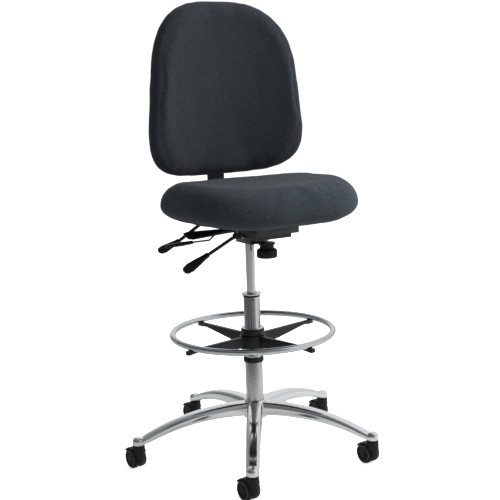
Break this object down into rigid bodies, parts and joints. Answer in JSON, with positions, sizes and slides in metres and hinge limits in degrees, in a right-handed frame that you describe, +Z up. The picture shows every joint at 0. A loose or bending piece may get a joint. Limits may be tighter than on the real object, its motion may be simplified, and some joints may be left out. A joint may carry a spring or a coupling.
{
  "type": "drafting chair",
  "caption": "Tall drafting chair with padded seat and back, foot ring, gas lift, adjusting levers and a star base on casters.",
  "frame": {"origin": "on the floor, under the centre of the chair's footprint", "axes": "+Z up; the chair faces -Y, and the sitter's right hand, with the levers, is at -X"},
  "size_m": [0.7524, 0.7529, 1.3902],
  "materials": {
    "base_aluminium": "cast aluminium, polished to a satin shine",
    "chrome": "bright chrome plate",
    "column_steel": "satin steel",
    "inner_steel": "plain steel",
    "slide_steel": "zinc plated sheet steel",
    "mechanism_black": "black powder coat",
    "caster_black": "black nylon",
    "wheel_black": "black nylon with a hard tread",
    "collar_black": "black nylon",
    "spider_black": "black glass-filled nylon",
    "grip_black": "black nylon",
    "seat_fabric": "slate blue-grey fine weave over foam",
    "back_fabric": "slate blue-grey fine weave over foam",
    "board_wood": "moulded plywood",
    "cover_black": "black moulded plastic"
  },
  "bodies": {
    "base": {"star_base": "base_aluminium", "column_tube": "column_steel", "column_tube_collar": "collar_black", "gas_spring_sleeve": "chrome", "guide_bushing": "collar_black", "sleeve_top_ring": "chrome", "thrust_bearing": "inner_steel", "retaining_clip": "inner_steel"},
    "caster_front": {"caster_front_stem": "inner_steel", "caster_front_hood": "caster_black"},
    "wheel_front_a": {"caster_front_wheel_a": "wheel_black"},
    "wheel_front_b": {"caster_front_wheel_b": "wheel_black"},
    "caster_right": {"caster_right_stem": "inner_steel", "caster_right_hood": "caster_black"},
    "wheel_right_a": {"caster_right_wheel_a": "wheel_black"},
    "wheel_right_b": {"caster_right_wheel_b": "wheel_black"},
    "caster_rear_right": {"caster_rear_right_stem": "inner_steel", "caster_rear_right_hood": "caster_black"},
    "wheel_rear_right_a": {"caster_rear_right_wheel_a": "wheel_black"},
    "wheel_rear_right_b": {"caster_rear_right_wheel_b": "wheel_black"},
    "caster_rear_left": {"caster_rear_left_stem": "inner_steel", "caster_rear_left_hood": "caster_black"},
    "wheel_rear_left_a": {"caster_rear_left_wheel_a": "wheel_black"},
    "wheel_rear_left_b": {"caster_rear_left_wheel_b": "wheel_black"},
    "caster_left": {"caster_left_stem": "inner_steel", "caster_left_hood": "caster_black"},
    "wheel_left_a": {"caster_left_wheel_a": "wheel_black"},
    "wheel_left_b": {"caster_left_wheel_b": "wheel_black"},
    "foot_ring_collet": {"foot_ring_collet": "collar_black"},
    "foot_ring": {"foot_ring_tube": "chrome", "foot_ring_spider": "spider_black"},
    "lock_collar": {"foot_ring_lock_collar": "collar_black"},
    "piston_rod": {"piston_rod": "inner_steel"},
    "lift": {"gas_cylinder": "chrome", "mechanism_housing": "mechanism_black", "tension_spring": "inner_steel", "recline_shaft": "inner_steel"},
    "height_lever": {"height_lever": "mechanism_black", "height_lever_grip": "grip_black"},
    "valve_button": {"valve_button": "inner_steel"},
    "tension_knob": {"tension_knob": "grip_black", "tension_bolt": "inner_steel"},
    "tension_nut": {"tension_nut": "inner_steel"},
    "seat_tilt": {"seat_tilt_frame": "mechanism_black"},
    "tilt_lever": {"tilt_lever_shaft": "inner_steel", "tilt_lever_paddle": "grip_black"},
    "depth_lever": {"depth_lever_wire": "slide_steel", "depth_lever_grip": "grip_black"},
    "seat": {"seat_slide": "slide_steel", "seat_board": "board_wood", "seat_cushion": "seat_fabric"},
    "recline": {"back_bracket": "mechanism_black", "back_upright": "mechanism_black"},
    "back_lever": {"back_lever": "mechanism_black", "back_lever_grip": "grip_black"},
    "back": {"back_carrier": "slide_steel", "back_board": "board_wood", "back_cover": "cover_black", "back_cushion": "back_fabric"}
  },
  "joints": [
    {"name": "caster_front_swivel", "type": "hinge", "parent": "base", "child": "caster_front", "pos_m": [-0.19459, -0.35662, 0.075], "axis": [0, 0, 1], "continuous": true},
    {"name": "wheel_front_a_roll", "type": "hinge", "parent": "caster_front", "child": "wheel_front_a", "pos_m": [-0.19679, -0.33573, 0.03], "axis": [-0.9945, -0.1045, 0], "continuous": true},
    {"name": "wheel_front_b_roll", "type": "hinge", "parent": "caster_front", "child": "wheel_front_b", "pos_m": [-0.19679, -0.33573, 0.03], "axis": [-0.9945, -0.1045, 0], "continuous": true},
    {"name": "caster_right_swivel", "type": "hinge", "parent": "base", "child": "caster_right", "pos_m": [0.23867, -0.33543, 0.075], "axis": [0, 0, 1], "continuous": true},
    {"name": "wheel_right_a_roll", "type": "hinge", "parent": "caster_right", "child": "wheel_right_a", "pos_m": [0.23648, -0.31454, 0.03], "axis": [-0.9945, -0.1045, 0], "continuous": true},
    {"name": "wheel_right_b_roll", "type": "hinge", "parent": "caster_right", "child": "wheel_right_b", "pos_m": [0.23648, -0.31454, 0.03], "axis": [-0.9945, -0.1045, 0], "continuous": true},
    {"name": "caster_rear_right_swivel", "type": "hinge", "parent": "base", "child": "caster_rear_right", "pos_m": [0.35241, 0.08318, 0.075], "axis": [0, 0, 1], "continuous": true},
    {"name": "wheel_rear_right_a_roll", "type": "hinge", "parent": "caster_rear_right", "child": "wheel_rear_right_a", "pos_m": [0.35021, 0.10407, 0.03], "axis": [-0.9945, -0.1045, 0], "continuous": true},
    {"name": "wheel_rear_right_b_roll", "type": "hinge", "parent": "caster_rear_right", "child": "wheel_rear_right_b", "pos_m": [0.35021, 0.10407, 0.03], "axis": [-0.9945, -0.1045, 0], "continuous": true},
    {"name": "caster_rear_left_swivel", "type": "hinge", "parent": "base", "child": "caster_rear_left", "pos_m": [-0.01057, 0.32071, 0.075], "axis": [0, 0, 1], "continuous": true},
    {"name": "wheel_rear_left_a_roll", "type": "hinge", "parent": "caster_rear_left", "child": "wheel_rear_left_a", "pos_m": [-0.01276, 0.34159, 0.03], "axis": [-0.9945, -0.1045, 0], "continuous": true},
    {"name": "wheel_rear_left_b_roll", "type": "hinge", "parent": "caster_rear_left", "child": "wheel_rear_left_b", "pos_m": [-0.01276, 0.34159, 0.03], "axis": [-0.9945, -0.1045, 0], "continuous": true},
    {"name": "caster_left_swivel", "type": "hinge", "parent": "base", "child": "caster_left", "pos_m": [-0.34863, 0.0489, 0.075], "axis": [0, 0, 1], "continuous": true},
    {"name": "wheel_left_a_roll", "type": "hinge", "parent": "caster_left", "child": "wheel_left_a", "pos_m": [-0.35083, 0.06978, 0.03], "axis": [-0.9945, -0.1045, 0], "continuous": true},
    {"name": "wheel_left_b_roll", "type": "hinge", "parent": "caster_left", "child": "wheel_left_b", "pos_m": [-0.35083, 0.06978, 0.03], "axis": [-0.9945, -0.1045, 0], "continuous": true},
    {"name": "foot_ring_height", "type": "slide", "parent": "base", "child": "foot_ring_collet", "axis": [0, 0, 1], "range_m": [-0.014, 0.08]},
    {"name": "foot_ring_turn", "type": "hinge", "parent": "foot_ring_collet", "child": "foot_ring", "pos_m": [0.00746, -0.04785, 0.388], "axis": [0, 0, 1], "continuous": true},
    {"name": "lock_collar_turn", "type": "hinge", "parent": "foot_ring", "child": "lock_collar", "pos_m": [0.00746, -0.04785, 0.388], "axis": [0, 0, 1], "range_deg": [0, 90]},
    {"name": "seat_swivel", "type": "hinge", "parent": "base", "child": "piston_rod", "pos_m": [0.00746, -0.04785, 0.128], "axis": [0, 0, 1], "continuous": true},
    {"name": "gas_lift", "type": "slide", "parent": "piston_rod", "child": "lift", "axis": [0, 0, 1], "range_m": [-0.115, 0.13]},
    {"name": "height_lever_pull", "type": "hinge", "parent": "lift", "child": "height_lever", "pos_m": [-0.06554, -0.09985, 0.696], "axis": [0, 1, 0], "range_deg": [0, 3.2], "stiffness_Nm_per_rad": 3, "springref_deg": -5.73},
    {"name": "valve_button_press", "type": "slide", "parent": "lift", "child": "valve_button", "axis": [0, 0, 1], "range_m": [-0.0042, 0]},
    {"name": "tension_knob_turn", "type": "hinge", "parent": "lift", "child": "tension_knob", "pos_m": [0.00746, -0.14485, 0.66], "axis": [0, 0, 1], "range_deg": [0, 720]},
    {"name": "tension_nut_travel", "type": "slide", "parent": "lift", "child": "tension_nut", "axis": [0, 0, 1], "range_m": [0, 0.0031], "deforming": ["tension_spring"]},
    {"name": "seat_tilt_hinge", "type": "hinge", "parent": "lift", "child": "seat_tilt", "pos_m": [0.00746, -0.10785, 0.717], "axis": [1, 0, 0], "range_deg": [-2, 6]},
    {"name": "tilt_lever_twist", "type": "hinge", "parent": "lift", "child": "tilt_lever", "pos_m": [0.00746, -0.10785, 0.717], "axis": [1, 0, 0], "range_deg": [-12, 12]},
    {"name": "depth_lever_pull", "type": "hinge", "parent": "seat_tilt", "child": "depth_lever", "pos_m": [-0.07084, -0.02285, 0.712], "axis": [0, 1, 0], "range_deg": [0, 6], "stiffness_Nm_per_rad": 0.6, "springref_deg": -5.73},
    {"name": "seat_depth", "type": "slide", "parent": "seat_tilt", "child": "seat", "axis": [0, -1, 0], "range_m": [0, 0.05]},
    {"name": "back_recline", "type": "hinge", "parent": "lift", "child": "recline", "pos_m": [0.00746, 0.00215, 0.709], "axis": [-1, 0, 0], "range_deg": [-2, 15]},
    {"name": "back_lever_pull", "type": "hinge", "parent": "recline", "child": "back_lever", "pos_m": [-0.04454, 0.09315, 0.711], "axis": [0, 1, 0], "range_deg": [0, 6], "stiffness_Nm_per_rad": 2, "springref_deg": -5.73},
    {"name": "back_height", "type": "slide", "parent": "recline", "child": "back", "axis": [0, 0, 1], "range_m": [-0.02, 0.05]}
  ],
  "couplings": [
    {"joint": "valve_button_press", "follows": "height_lever_pull", "m_per_rad": -0.073},
    {"joint": "tension_nut_travel", "follows": "tension_knob_turn", "m_per_rad": 0.00023873}
  ]
}
